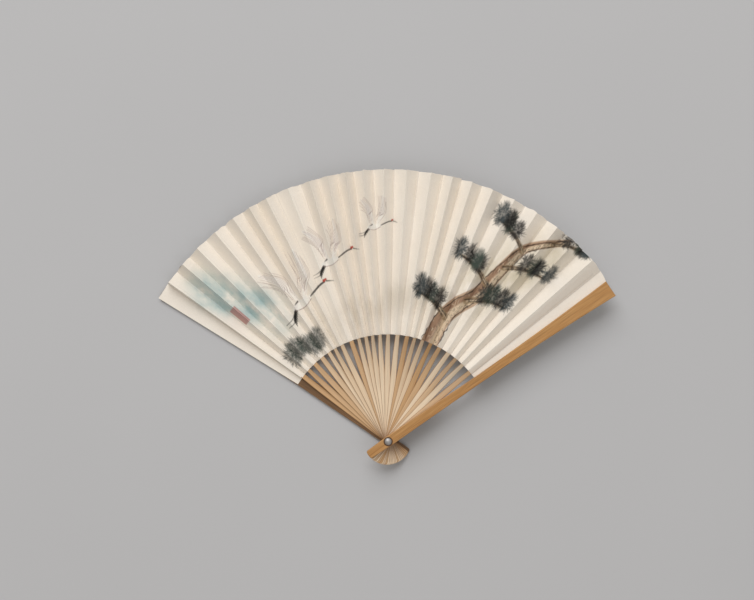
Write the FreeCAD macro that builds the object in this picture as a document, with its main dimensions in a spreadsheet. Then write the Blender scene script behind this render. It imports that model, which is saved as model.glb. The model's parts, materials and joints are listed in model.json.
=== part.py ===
"""Folding hand fan: bamboo guards and ribs on a steel rivet, with a pleated paper leaf.

The fan lies fully open.  The rivet's axis is +Z, the outer face of the rear
guard is the plane Z = 0, and +Y halves the spread.  Every stick turns about
the rivet, and the rear guard is the one that stays still.
"""
import FreeCAD, Part
import os
import Sketcher

# The angle from each stick to the one before it: the sticks of a used fan don't spread evenly.
STICK_GAPS = [3.3, 4.1, 5.0, 5.1, 4.6, 3.6, 4.5, 5.7, 3.8, 4.1, 3.5, 4.2,
              4.5, 5.2, 5.2, 4.0, 4.5, 4.7, 5.3, 5.6, 4.8, 4.8, 5.8, 6.1]
RIB_COUNT = len(STICK_GAPS) - 1

# Lengths are in millimetres and angles in degrees.
DIMENSIONS = {
    "spread": sum(STICK_GAPS),
    # how far things reach from the rivet's axis
    "tail_reach": 18.2,
    "neck_reach": 86.0,
    "guard_reach": 204.0,
    "rib_reach": 199.0,
    "leaf_inner": 80.9,
    "leaf_outer": 206.7,
    # guards
    "guard_tail_width": 6.4,
    "guard_rivet_width": 7.6,
    "guard_neck_width": 6.2,
    "guard_tip_width": 13.1,
    "guard_flare_radius": 2750.0,
    "guard_thickness": 2.2,
    "guard_face_round": 0.7,
    "guard_tail_round": 1.6,
    # ribs
    "rib_tail_width": 4.6,
    "rib_rivet_width": 5.2,
    "rib_neck_width": 3.6,
    "rib_tip_width": 6.0,
    "rib_end_round": 0.9,
    "rib_thickness": 0.5,
    "rib_pitch": 0.62,
    "first_rib_level": 2.45,
    # leaf: one flat panel as seen from the rivet, and the first one, which stands nearly upright
    "panel_angle": 3.62,
    "first_peak_angle": 0.5,
    "paper": 0.3,
    "leaf_gap": 0.05,
    "facing_thickness": 0.15,
    "facing_margin": 0.05,
    "front_room": 0.55,
    # rivet
    "post_radius": 1.5,
    "neck_radius": 1.0,
    "neck_length": 0.9,
    "foot_radius": 2.7,
    "foot_thickness": 0.6,
    "cap_radius": 2.65,
    "cap_height": 1.4,
    "cap_rim": 0.3,
    "recess_radius": 3.25,
    "running_clearance": 0.05,
}
for number, gap in enumerate(STICK_GAPS, start=1):
    DIMENSIONS[f"gap_{number:02d}"] = gap

# Lengths nearer to each other than this count as equal.
TOLERANCE = 1e-4

doc = FreeCAD.newDocument("hand_fan")
sheet = doc.addObject("Spreadsheet::Sheet", "dims")
for row, (alias, value) in enumerate(DIMENSIONS.items(), start=1):
    sheet.set(f"A{row}", alias)
    sheet.set(f"B{row}", str(value))
    sheet.setAlias(f"B{row}", alias)
doc.recompute()

# Levels in the stack, as expressions of the sheet.
FRONT_LEVEL = (f"(dims.first_rib_level + {RIB_COUNT - 1} * dims.rib_pitch"
               " + dims.rib_thickness + dims.front_room)")
CAP_LEVEL = (f"({FRONT_LEVEL} + dims.guard_thickness - dims.foot_thickness"
             " + dims.running_clearance)")
HOLE_RADIUS = "dims.post_radius + dims.running_clearance"


def stick_turn(count):
    """How far the stick of that number stands from the rear guard."""
    if count == 0:
        return "0"
    return "(" + " + ".join(f"dims.gap_{number:02d}" for number in range(1, count + 1)) + ")"


def rib_level(number):
    return f"dims.first_rib_level + {number - 1} * dims.rib_pitch"


# ---------------------------------------------------------------- bodies and sketches

def new_body(label, turn, level):
    """A body that stands on a level of the stack, turned clockwise from the rear guard."""
    body = doc.addObject("PartDesign::Body", label)
    body.Label = label
    body.Placement = FreeCAD.Placement(FreeCAD.Vector(), FreeCAD.Rotation(FreeCAD.Vector(0, 0, 1), 1))
    body.setExpression("Placement.Rotation.Angle", f"dims.spread / 2 - {turn}")
    body.setExpression("Placement.Base.z", level)
    return body


def new_sketch(body, name, role="XY_Plane", lift="0"):
    """A sketch on one of the body's own origin planes, lifted along the plane's normal."""
    plane = next(item for item in body.Origin.OriginFeatures if item.Role == role)
    sketch = body.newObject("Sketcher::SketchObject", name)
    sketch.AttachmentSupport = [(plane, "")]
    sketch.MapMode = "FlatFace"
    sketch.setExpression("AttachmentOffset.Base.z", lift)
    return sketch


def bind(sketch, constraint, expression):
    index = sketch.addConstraint(constraint)
    sketch.setExpression(f"Constraints[{index}]", expression)


def add_circle(sketch, radius):
    """A circle about the sketch's origin."""
    value = sketch.evalExpression(radius)
    circle = sketch.addGeometry(Part.Circle(FreeCAD.Vector(), FreeCAD.Vector(0, 0, 1), value))
    sketch.addConstraint(Sketcher.Constraint("Coincident", circle, 3, -1, 1))
    bind(sketch, Sketcher.Constraint("Radius", circle, value), radius)


def arc_edge(sketch, start, end, radius, bulge):
    """An arc from start to end; bulge is +1 where it bows to the left of that way, else -1.

    A sketch's arcs run anticlockwise, so one that bows to the left is drawn backwards.
    """
    chord = end - start
    sagitta = radius - (radius ** 2 - (chord.Length / 2) ** 2) ** 0.5
    left = FreeCAD.Vector(-chord.y, chord.x, 0).normalize()
    crown = start + chord / 2 + left * (sagitta * bulge)
    if bulge > 0:
        return sketch.addGeometry(Part.Arc(end, crown, start)), (2, 1)
    return sketch.addGeometry(Part.Arc(start, crown, end)), (1, 2)


def outline(sketch, corners, arcs=None):
    """A closed outline through corners, given as pairs of expressions.

    arcs maps an edge's number to (radius, bulge, centre): the edge from that
    corner to the next is an arc.  A centre of "origin" fixes the arc about the
    origin, and then the corners at its ends keep only their X; "axis" keeps the
    centre on the sketch's vertical axis, where the ends already fix the radius.
    """
    arcs = arcs or {}
    count = len(corners)
    points = [FreeCAD.Vector(sketch.evalExpression(x), sketch.evalExpression(y), 0) for x, y in corners]
    edges = []
    for index, start in enumerate(points):
        end = points[(index + 1) % count]
        if index in arcs:
            radius, bulge, centre = arcs[index]
            edges.append(arc_edge(sketch, start, end, float(sketch.evalExpression(radius)), bulge))
        else:
            edges.append((sketch.addGeometry(Part.LineSegment(start, end)), (1, 2)))
    for index, (edge, ends) in enumerate(edges):
        following, following_ends = edges[(index + 1) % count]
        sketch.addConstraint(Sketcher.Constraint("Coincident", edge, ends[1], following, following_ends[0]))
    free_y = set()
    for index, (radius, bulge, centre) in arcs.items():
        edge = edges[index][0]
        if centre == "origin":
            sketch.addConstraint(Sketcher.Constraint("Coincident", edge, 3, -1, 1))
            free_y.update((index, (index + 1) % count))
        if centre == "axis":
            sketch.addConstraint(Sketcher.Constraint("PointOnObject", edge, 3, -2))
        else:
            value = float(sketch.evalExpression(radius))
            bind(sketch, Sketcher.Constraint("Radius", edge, value), radius)
    for index, (x, y) in enumerate(corners):
        edge, ends = edges[index]
        bind(sketch, Sketcher.Constraint("DistanceX", -1, 1, edge, ends[0], points[index].x), x)
        if index not in free_y:
            bind(sketch, Sketcher.Constraint("DistanceY", -1, 1, edge, ends[0], points[index].y), y)


def pad(body, name, sketch, length):
    feature = body.newObject("PartDesign::Pad", name)
    feature.Profile = sketch
    feature.setExpression("Length", length)
    doc.recompute()
    return feature


def pocket(body, name, sketch, depth, upwards):
    """A pocket that has to take material away."""
    before = body.Shape.Volume
    feature = body.newObject("PartDesign::Pocket", name)
    feature.Profile = sketch
    feature.setExpression("Length", depth)
    feature.Reversed = upwards
    doc.recompute()
    if body.Shape.Volume >= before:
        raise RuntimeError(f"{body.Label}: {name} cuts nothing")


def revolve(body, name, sketch):
    feature = body.newObject("PartDesign::Revolution", name)
    feature.Profile = sketch
    feature.ReferenceAxis = (sketch, ["V_Axis"])
    feature.Angle = 360


def fillet(body, name, base, radius, wanted):
    """Round the edges of the base feature for which wanted(edge) is true."""
    names = [f"Edge{number}" for number, edge in enumerate(base.Shape.Edges, start=1) if wanted(edge)]
    feature = body.newObject("PartDesign::Fillet", name)
    feature.Base = (base, names)
    feature.setExpression("Radius", radius)
    return feature


# ---------------------------------------------------------------- guards

TAIL_END = "-sqrt(dims.tail_reach ^ 2 - ({width} / 2) ^ 2)"


def upright(edge):
    return max(edge.BoundBox.XLength, edge.BoundBox.YLength) < TOLERANCE


def upright_below_grip(edge):
    """The corners of a stick's tail."""
    return upright(edge) and edge.BoundBox.YMin < -DIMENSIONS["rib_rivet_width"]


def guard_outline(sketch):
    """Round tail, a waist below the leaf, and a flare to the square-cut tip."""
    tail = TAIL_END.format(width="dims.guard_tail_width")
    right = [
        ("dims.guard_tail_width / 2", tail),
        ("dims.guard_rivet_width / 2", "0"),
        ("dims.guard_neck_width / 2", "dims.neck_reach"),
        ("dims.guard_tip_width / 2", "dims.guard_reach"),
    ]
    left = [(f"-{x}", y) for x, y in reversed(right)]
    right_flare, left_flare, tail_end = 2, 4, 7
    outline(sketch, right + left, {
        right_flare: ("dims.guard_flare_radius", 1, None),
        left_flare: ("dims.guard_flare_radius", 1, None),
        tail_end: ("dims.tail_reach", -1, "origin"),
    })


def make_guard(label, turn, level, outer_is_up):
    """A guard with its outer face rounded along the edges and sunk around the rivet."""
    body = new_body(label, turn, level)
    blank_sketch = new_sketch(body, label + "_outline")
    guard_outline(blank_sketch)
    add_circle(blank_sketch, HOLE_RADIUS)
    plate = pad(body, label + "_blank", blank_sketch, "dims.guard_thickness")
    blank = fillet(body, label + "_tail_corners", plate, "dims.guard_tail_round", upright_below_grip)
    doc.recompute()
    outer_face = DIMENSIONS["guard_thickness"] if outer_is_up else 0.0
    hole_width = 2 * (DIMENSIONS["post_radius"] + DIMENSIONS["running_clearance"])

    def on_outer_rim(edge):
        box = edge.BoundBox
        on_face = max(abs(box.ZMin - outer_face), abs(box.ZMax - outer_face)) < TOLERANCE
        around_hole = max(box.XLength, box.YLength) < hole_width + TOLERANCE
        return on_face and not around_hole

    fillet(body, label + "_rounding", blank, "dims.guard_face_round", on_outer_rim)
    doc.recompute()
    recess_sketch = new_sketch(body, label + "_recess_circle",
                               lift="dims.guard_thickness" if outer_is_up else "0")
    add_circle(recess_sketch, "dims.recess_radius")
    pocket(body, label + "_recess", recess_sketch, "dims.foot_thickness", upwards=not outer_is_up)


# ---------------------------------------------------------------- ribs

def make_rib(number):
    """A thin bamboo rib: a grip below the rivet, a slim neck, and a slip that widens under the leaf."""
    label = f"rib_{number:02d}"
    body = new_body(label, stick_turn(number), rib_level(number))
    sketch = new_sketch(body, label + "_outline")
    right = [
        ("dims.rib_tail_width / 2", TAIL_END.format(width="dims.rib_tail_width")),
        ("dims.rib_rivet_width / 2", "0"),
        ("dims.rib_neck_width / 2", "dims.leaf_inner"),
        ("dims.rib_tip_width / 2", "dims.rib_reach"),
    ]
    left = [(f"-{x}", y) for x, y in reversed(right)]
    tail_end = 7
    outline(sketch, right + left, {tail_end: ("dims.tail_reach", -1, "origin")})
    add_circle(sketch, HOLE_RADIUS)
    blank = pad(body, label + "_blank", sketch, "dims.rib_thickness")

    def at_an_end(edge):
        beyond_neck = edge.BoundBox.YMin > DIMENSIONS["leaf_inner"] + TOLERANCE
        return upright_below_grip(edge) or (upright(edge) and beyond_neck)

    fillet(body, label + "_ends", blank, "dims.rib_end_round", at_an_end)


# ---------------------------------------------------------------- leaf

def fold_side(reach, number):
    """How far out, and how far up, the fold line stands between two valleys of the leaf.

    number 0 is the fold line beside the rear guard's panel.  Both are expressions, measured from
    the valley on its left, at that reach from the rivet.
    """
    if number == 0:
        plan = f"{reach} * sin(dims.first_peak_angle)"
        partner = f"{reach} * sin(dims.gap_01 - dims.first_peak_angle)"
    elif number == RIB_COUNT:
        return f"{reach} * sin(dims.panel_angle)", "0"
    else:
        plan = f"{reach} * sin(dims.gap_{number + 1:02d} / 2)"
        partner = plan
    rise = f"sqrt(({reach} * sin(dims.panel_angle)) ^ 2 - ({partner}) ^ 2)"
    return plan, rise


def fold_profile(sketch, reach, number):
    """A V of paper: down from the fold line on the left to the valley, and up on the right."""
    right, right_rise = fold_side(reach, number)
    corners = [("0", "0"),
               (f"{right} - dims.leaf_gap", right_rise),
               (f"{right} - dims.leaf_gap", f"{right_rise} + dims.paper"),
               ("0", "dims.paper")]
    if number > 0:
        left, left_rise = fold_side(reach, number - 1)
        if number == 1:
            left = f"{reach} * sin(dims.gap_01 - dims.first_peak_angle)"
        corners += [(f"-({left}) + dims.leaf_gap", f"{left_rise} + dims.paper"),
                    (f"-({left}) + dims.leaf_gap", left_rise)]
    outline(sketch, corners)


def make_fold(number):
    """The leaf from one fold line to the next, with the valley between them above its rib."""
    label = f"leaf_fold_{number:02d}"
    base = f"{rib_level(number)} + dims.rib_thickness" if number else "dims.guard_thickness"
    body = new_body(label, f"({stick_turn(number)} + dims.panel_angle / 2)", f"{base} + dims.leaf_gap")
    sections = []
    for end in ("leaf_inner", "leaf_outer"):
        sketch = new_sketch(body, f"{label}_{end}", role="XZ_Plane", lift=f"-dims.{end}")
        fold_profile(sketch, f"dims.{end}", number)
        sections.append(sketch)
    loft = body.newObject("PartDesign::AdditiveLoft", label + "_sheet")
    loft.Profile = sections[0]
    loft.Sections = [sections[1]]
    loft.Ruled = True


def make_facing(label, turn, level):
    """The end panel of the leaf, pasted flat on a guard's inner face."""
    body = new_body(label, turn, level)
    sketch = new_sketch(body, label + "_outline")
    inner = "dims.leaf_inner * tan(dims.panel_angle / 2) - dims.facing_margin"
    outer = "dims.guard_reach * tan(dims.panel_angle / 2) - dims.facing_margin"
    outline(sketch, [(inner, "dims.leaf_inner"), (outer, "dims.guard_reach"),
                     (f"-({outer})", "dims.guard_reach"), (f"-({inner})", "dims.leaf_inner")])
    pad(body, label + "_sheet", sketch, "dims.facing_thickness")


# ---------------------------------------------------------------- rivet

def make_post():
    """The rivet's post: a flat foot sunk in the rear guard, a shank, and a neck for the cap."""
    body = new_body("rivet_post", "dims.spread / 2", "0")
    sketch = new_sketch(body, "rivet_post_profile", role="XZ_Plane")
    outline(sketch, [
        ("0", "0"),
        ("dims.foot_radius", "0"),
        ("dims.foot_radius", "dims.foot_thickness"),
        ("dims.post_radius", "dims.foot_thickness"),
        ("dims.post_radius", CAP_LEVEL),
        ("dims.neck_radius", CAP_LEVEL),
        ("dims.neck_radius", f"{CAP_LEVEL} + dims.neck_length"),
        ("0", f"{CAP_LEVEL} + dims.neck_length"),
    ])
    revolve(body, "rivet_post_turning", sketch)


def make_cap():
    """The domed cap pressed onto the post's neck."""
    body = new_body("rivet_cap", "dims.spread / 2", CAP_LEVEL)
    sketch = new_sketch(body, "rivet_cap_profile", role="XZ_Plane")
    dome_rise = "(dims.cap_height - dims.cap_rim)"
    dome_radius = f"(dims.cap_radius ^ 2 + {dome_rise} ^ 2) / (2 * {dome_rise})"
    corners = [
        ("dims.neck_radius", "0"),
        ("dims.cap_radius", "0"),
        ("dims.cap_radius", "dims.cap_rim"),
        ("0", "dims.cap_height"),
        ("0", "dims.neck_length"),
        ("dims.neck_radius", "dims.neck_length"),
    ]
    outline(sketch, corners, {2: (dome_radius, -1, "axis")})
    revolve(body, "rivet_cap_turning", sketch)


# ---------------------------------------------------------------- the fan

make_guard("rear_guard", "0", "0", outer_is_up=False)
make_guard("front_guard", "dims.spread", FRONT_LEVEL, outer_is_up=True)
for rib_number in range(1, RIB_COUNT + 1):
    make_rib(rib_number)
make_facing("rear_facing", "0", "dims.guard_thickness")
make_facing("front_facing", "dims.spread", f"{FRONT_LEVEL} - dims.facing_thickness")
for fold_number in range(RIB_COUNT + 1):
    make_fold(fold_number)
make_post()
make_cap()
doc.recompute()


# ---------------------------------------------------------------- checks and files

def write_parts():
    for item in doc.Objects:
        if "Invalid" in item.State or "Error" in item.State:
            raise RuntimeError(f"{item.Name}: {item.State}")
    os.makedirs("parts", exist_ok=True)
    for body in doc.findObjects("PartDesign::Body"):
        shape = body.Shape
        if shape.isNull() or not shape.isValid() or shape.Volume <= 0:
            raise RuntimeError(f"{body.Label}: no valid solid")
        shape.exportStep(f"parts/{body.Label}.step")
        box = shape.BoundBox
        print(f"{body.Label:14s} {len(shape.Solids)} solid {shape.Volume:9.2f} mm3"
              f"  z {box.ZMin:6.2f} to {box.ZMax:6.2f}")


write_parts()
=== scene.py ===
# %% [markdown]
# # A folding hand fan: paper, bamboo and one rivet
#
# A folding fan is a pleated sheet of paper on thin bamboo ribs, and every stick turns about one
# rivet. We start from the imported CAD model, which already says where each stick stands and how it
# moves, and give each piece its visible shape and finish. Nothing in the CAD is moved: a piece
# either gets a better material, or a new mesh stands in for it.
# %% Load the frame
import json
import math
import bpy
import numpy as np
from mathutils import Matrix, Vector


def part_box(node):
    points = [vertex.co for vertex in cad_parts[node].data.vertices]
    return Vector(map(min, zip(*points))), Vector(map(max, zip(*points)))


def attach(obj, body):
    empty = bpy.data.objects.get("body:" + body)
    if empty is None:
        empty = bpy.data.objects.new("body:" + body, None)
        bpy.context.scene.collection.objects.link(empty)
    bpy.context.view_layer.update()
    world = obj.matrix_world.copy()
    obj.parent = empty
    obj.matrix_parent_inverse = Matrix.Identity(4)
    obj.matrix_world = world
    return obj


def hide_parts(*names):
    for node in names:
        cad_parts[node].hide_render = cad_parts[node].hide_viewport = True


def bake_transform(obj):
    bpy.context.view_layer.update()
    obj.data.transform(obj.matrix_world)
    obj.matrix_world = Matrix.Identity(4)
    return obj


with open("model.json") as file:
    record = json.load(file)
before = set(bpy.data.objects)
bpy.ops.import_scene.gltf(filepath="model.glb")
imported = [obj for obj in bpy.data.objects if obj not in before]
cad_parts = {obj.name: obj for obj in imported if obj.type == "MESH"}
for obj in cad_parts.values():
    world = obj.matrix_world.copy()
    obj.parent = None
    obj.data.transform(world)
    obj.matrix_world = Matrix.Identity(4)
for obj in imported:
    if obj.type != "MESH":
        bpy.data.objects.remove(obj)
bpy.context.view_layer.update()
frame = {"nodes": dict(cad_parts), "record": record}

scene = bpy.context.scene
MM = 0.001
random = np.random.default_rng(23)

# %% [markdown]
# ## Where the sticks and the folds stand
#
# The fan's measures are in its joints, so we read them from there instead of writing them twice.
# Each rib stands at an angle from the rear guard. A valley of the leaf runs along the right edge
# of each rib, and the peak between two valleys is halfway, because all panels are equally wide.
# A panel's tilt follows from that: it is a wide strip of paper that has to fit a narrow gap.
# %% Read the angles
behaviour = frame["record"]["behaviour"]
joints = {joint["name"]: joint for joint in behaviour["joints"]}
shares = {coupling["joint"]: coupling["ratio"] for coupling in behaviour["couplings"]}
SPREAD = joints["fan_spread"]["range_deg"][1]
RIBS = len([name for name in joints if name.startswith("stick_")])
REAR_GUARD_ANGLE = 90 + SPREAD / 2
PANEL_ANGLE = 3.62
FIRST_PEAK_ANGLE = 0.5
LEAF_INNER = 80.9 * MM
LEAF_OUTER = 205.9 * MM
GUARD_TIP = 203.7 * MM
REAR_END_REACH = 206.3 * MM  # the rear end panel runs a little past its guard's tip

stick_angle = [REAR_GUARD_ANGLE]
for number in range(1, RIBS + 1):
    stick_angle.append(REAR_GUARD_ANGLE - shares[f"stick_{number:02d}_turn"] * SPREAD)
valley_angle = [angle - PANEL_ANGLE / 2 for angle in stick_angle]
valley_level = [joints[f"pleat_{number:02d}_fold"]["pos_m"][2] for number in range(RIBS + 1)]
closing = [joints[f"pleat_{number:02d}_fold"]["range_deg"][1] for number in range(RIBS + 1)]
print(RIBS, "ribs; the valleys run from", round(valley_angle[0], 1), "to", round(valley_angle[-1], 1), "degrees")

# %% Work out the tilts


def sine(degrees):
    return math.sin(math.radians(degrees))


# For each peak: the angle in plan from the free panel's valley and from the rib panel's valley.
peak_from_left = {0: FIRST_PEAK_ANGLE}
peak_from_right = {1: valley_angle[0] - valley_angle[1] - FIRST_PEAK_ANGLE}
for number in range(1, RIBS):
    half_gap = (valley_angle[number] - valley_angle[number + 1]) / 2
    peak_from_left[number] = half_gap
    peak_from_right[number + 1] = half_gap

rib_tilt = {number: math.degrees(math.acos(sine(plan) / sine(PANEL_ANGLE)))
            for number, plan in peak_from_right.items()}
free_tilt = {number: math.degrees(math.acos(sine(plan) / sine(PANEL_ANGLE)))
             for number, plan in peak_from_left.items()}
first_rise = sine(PANEL_ANGLE) * sine(rib_tilt[1])
free_tilt[0] = math.degrees(math.atan2(first_rise, sine(FIRST_PEAK_ANGLE)))
free_width = {number: PANEL_ANGLE for number in range(RIBS + 1)}
free_width[0] = math.degrees(math.asin(math.hypot(first_rise, sine(FIRST_PEAK_ANGLE))))
free_tilt[RIBS] = 0.0
print("rib panels tilt by", round(min(rib_tilt.values())), "to", round(max(rib_tilt.values())), "degrees")

# %% [markdown]
# ## Two small helpers
#
# Colours are picked as sRGB hex, as a paint card gives them, and Blender's shaders work in linear
# light, so one function converts them. The other adds a node, sets its settings and fills its
# inputs, each with a value or with a link, which keeps node trees short to read.
# %% Colour and node helpers


def colour(hex_code):
    """Linear RGBA of an sRGB hex colour."""
    values = [int(hex_code[start:start + 2], 16) / 255 for start in (1, 3, 5)]
    return tuple(v / 12.92 if v <= 0.04045 else ((v + 0.055) / 1.055) ** 2.4 for v in values) + (1.0,)


def add_node(tree, kind, settings=None, inputs=None):
    """A node with its settings, and with each input set to a value or linked from a socket."""
    node = tree.nodes.new(kind)
    for name, value in (settings or {}).items():
        setattr(node, name, value)
    for name, value in (inputs or {}).items():
        if isinstance(value, bpy.types.NodeSocket):
            tree.links.new(value, node.inputs[name])
        else:
            node.inputs[name].default_value = value
    return node


def new_material(name, **values):
    """A material with its Principled shader, its tree and the shader's own values set."""
    material = bpy.data.materials.new(name)
    material.use_nodes = True
    shader = material.node_tree.nodes["Principled BSDF"]
    for socket, value in values.items():
        shader.inputs[socket.replace("_", " ")].default_value = value
    return material, material.node_tree, shader


# %% [markdown]
# ## Table, light and camera
#
# The fan lies open on a pale grey table and is seen from straight above. One large soft light
# stands beyond the fan's top edge at about half height, so every pleat gets a bright side and a
# shaded side, and the shadows fall towards the handle. The world adds the weak light of a room.
# %% Table top
floor_mesh = bpy.data.meshes.new("table_top")
floor_mesh.from_pydata([(-3, -3, 0), (3, -3, 0), (3, 3, 0), (-3, 3, 0)], [], [(0, 1, 2, 3)])
table_top = bpy.data.objects.new("table_top", floor_mesh)
scene.collection.objects.link(table_top)
card, tree, shader = new_material("pale_grey_card", Roughness=0.85)
place = add_node(tree, "ShaderNodeTexCoord")
mottle = add_node(tree, "ShaderNodeTexNoise", inputs={"Vector": place.outputs["Object"], "Scale": 6.0})
tone = add_node(tree, "ShaderNodeMix", {"data_type": "RGBA"}, {"Factor": mottle.outputs["Fac"]})
tone.inputs[6].default_value = colour("#BFC0C2")
tone.inputs[7].default_value = colour("#C2C3C5")
tree.links.new(tone.outputs[2], shader.inputs["Base Color"])
floor_mesh.materials.append(card)

# %% Light
scene.view_settings.view_transform = "Standard"
scene.world = bpy.data.worlds.new("room")
scene.world.use_nodes = True
scene.world.node_tree.nodes["Background"].inputs["Color"].default_value = colour("#FAF4EC")
scene.world.node_tree.nodes["Background"].inputs["Strength"].default_value = 0.42


def add_light(name, azimuth, elevation, distance, size, power, tint):
    """A square area light that faces the middle of the fan from that direction."""
    data = bpy.data.lights.new(name, "AREA")
    data.size = size
    data.energy = power
    data.color = colour(tint)[:3]
    lamp = bpy.data.objects.new(name, data)
    flat = math.cos(math.radians(elevation))
    towards = np.array([math.cos(math.radians(azimuth)) * flat, math.sin(math.radians(azimuth)) * flat,
                        math.sin(math.radians(elevation))])
    lamp.location = np.array([0, 0.1, 0.01]) + towards * distance
    lamp.rotation_euler = (math.radians(90 - elevation), 0, math.radians(azimuth + 90))
    scene.collection.objects.link(lamp)
    return lamp


add_light("window_light", azimuth=103, elevation=48, distance=4.0, size=3.0, power=108, tint="#FFFEFE")
add_light("room_bounce", azimuth=-60, elevation=55, distance=3.0, size=2.2, power=6, tint="#F4F6FF")

# %% Camera
camera_data = bpy.data.cameras.new("camera")
camera_data.sensor_width = 36
camera_data.lens = 84.2
camera = bpy.data.objects.new("camera", camera_data)
camera.location = (-7.52 * MM, 106.97 * MM, 1.35)
camera.rotation_euler = (0, 0, math.radians(-0.5))
scene.collection.objects.link(camera)
scene.camera = camera
print("camera", round(camera.location.z, 2), "m above the table")

# %% [markdown]
# ## The painting on the leaf
#
# The leaf is one sheet of paper that was painted flat and pleated afterwards. We do the same: a
# canvas is an array over the flat sheet, with rows for the radius and columns for the angle, and
# every brush stroke is laid on it as the distance to a line. Later each point of the pleated mesh
# looks up its colour on the canvas. A stroke's place is given as the angle at which it's seen on
# the open fan and its distance from the rivet in millimetres.
# The picture is a plain study of a pine and flying cranes in ink, with a plain red mark and no
# writing. It follows simple rules: one trunk, branches in turn, and birds in a row.
# %% The flat sheet
plan_edges = [REAR_GUARD_ANGLE + PANEL_ANGLE / 2, valley_angle[0]]
flat_edges = [0.0, PANEL_ANGLE]
for number in range(1, RIBS + 1):
    plan_edges += [valley_angle[number] + peak_from_right[number], valley_angle[number]]
    flat_edges += [flat_edges[-1] + free_width[number - 1], flat_edges[-1] + free_width[number - 1] + PANEL_ANGLE]
plan_edges += [valley_angle[RIBS] - PANEL_ANGLE, valley_angle[RIBS] - 2 * PANEL_ANGLE]
flat_edges += [flat_edges[-1] + PANEL_ANGLE, flat_edges[-1] + 2 * PANEL_ANGLE]

RADIUS_STEP = 0.35
ANGLE_STEP = 0.1
radius_rows = np.arange(80.0, 208.5, RADIUS_STEP)
angle_columns = np.arange(0.0, flat_edges[-1] + 1, ANGLE_STEP)
PAPER_WHITE = np.array(colour("#F6EEE2")[:3])
canvas = np.ones((len(radius_rows), len(angle_columns), 3)) * PAPER_WHITE
print("the flat sheet spans", round(flat_edges[-1]), "degrees; canvas", canvas.shape)

# %% Brush and wash


def flat_angle(plan):
    """The angle on the flat sheet of a line that is seen at that angle on the open fan."""
    return np.interp(plan, plan_edges[::-1], flat_edges[::-1])


def curve_through(points, widths, steps=5):
    """More points on a smooth curve through the given ones, so that a stroke has no corners."""
    points = np.array(points, float)
    padded = np.concatenate([[2 * points[0] - points[1]], points, [2 * points[-1] - points[-2]]])
    share = np.arange(0, len(points) - 1 + 1e-9, 1 / steps)
    first = np.minimum(share.astype(int), len(points) - 2)
    t = (share - first)[:, None]
    a, b, c, d = (padded[first + index] for index in range(4))
    curve = 0.5 * (2 * b + (c - a) * t + (2 * a - 5 * b + 4 * c - d) * t ** 2 + (3 * b - a - 3 * c + d) * t ** 3)
    return curve, np.interp(share, range(len(points)), widths)


def brush(points, widths, ink, strength=1.0, edge=0.45):
    """A stroke through (angle, radius) points, with a width in mm at each of them."""
    if len(points) > 2:
        points, widths = curve_through(points, widths)
    flat = np.array([(flat_angle(angle), radius) for angle, radius in points])
    spots = np.stack([flat[:, 1] * np.cos(np.radians(flat[:, 0])),
                      flat[:, 1] * np.sin(np.radians(flat[:, 0]))], 1)
    reach = max(widths) / 2 + 2 * edge
    low, high = flat.min(0), flat.max(0)
    sweep = math.degrees(reach / max(low[1], 60))
    rows = slice(*np.searchsorted(radius_rows, (low[1] - reach, high[1] + reach)))
    columns = slice(*np.searchsorted(angle_columns, (low[0] - sweep, high[0] + sweep)))
    radius = radius_rows[rows, None]
    angle = np.radians(angle_columns[None, columns])
    if radius.size == 0 or angle.size == 0:
        return
    x, y = radius * np.cos(angle), radius * np.sin(angle)
    cover = np.zeros(x.shape)
    for start, end, first, last in zip(spots[:-1], spots[1:], widths[:-1], widths[1:]):
        way = end - start
        along = np.clip(((x - start[0]) * way[0] + (y - start[1]) * way[1]) / max(way @ way, 1e-9), 0, 1)
        distance = np.hypot(x - start[0] - along * way[0], y - start[1] - along * way[1])
        cover = np.maximum(cover, np.clip((first + (last - first) * along) / 2 / edge - distance / edge + 0.5, 0, 1))
    cover = (cover * strength)[..., None]
    canvas[rows, columns] += cover * (np.array(colour(ink)[:3]) - canvas[rows, columns])


def soft_noise(cells_out, cells_round, seed):
    """Smooth noise from 0 to 1 over the canvas, with that many cells each way."""
    grid = np.random.default_rng(seed).random((cells_out + 2, cells_round + 2))
    out = np.linspace(0, cells_out, len(radius_rows))
    turn = np.linspace(0, cells_round, len(angle_columns))
    i, j = out.astype(int), turn.astype(int)
    u, v = out - i, turn - j
    u, v = (u * u * (3 - 2 * u))[:, None], (v * v * (3 - 2 * v))[None]
    near = grid[np.ix_(i, j)] * (1 - v) + grid[np.ix_(i, j + 1)] * v
    far = grid[np.ix_(i + 1, j)] * (1 - v) + grid[np.ix_(i + 1, j + 1)] * v
    return near * (1 - u) + far * u


cloudy = 0.55 * soft_noise(8, 34, 5) + 0.3 * soft_noise(20, 90, 6) + 0.15 * soft_noise(60, 260, 7)


def wash(angle, radius, wide, tall, ink, strength):
    """A soft stain of thin ink, wide round the fan and tall along the sticks, in mm."""
    centre = math.radians(flat_angle(angle))
    rise = radius_rows[:, None] - radius
    side = (np.radians(angle_columns)[None] - centre) * radius
    fall = np.exp(-((side / wide) ** 2 + (rise / tall) ** 2) ** 1.3)
    cover = (fall * strength * np.clip(2.2 * cloudy - 0.45, 0, 1.3)).clip(0, 1)[..., None]
    canvas[:] += cover * (np.array(colour(ink)[:3]) - canvas)


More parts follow.
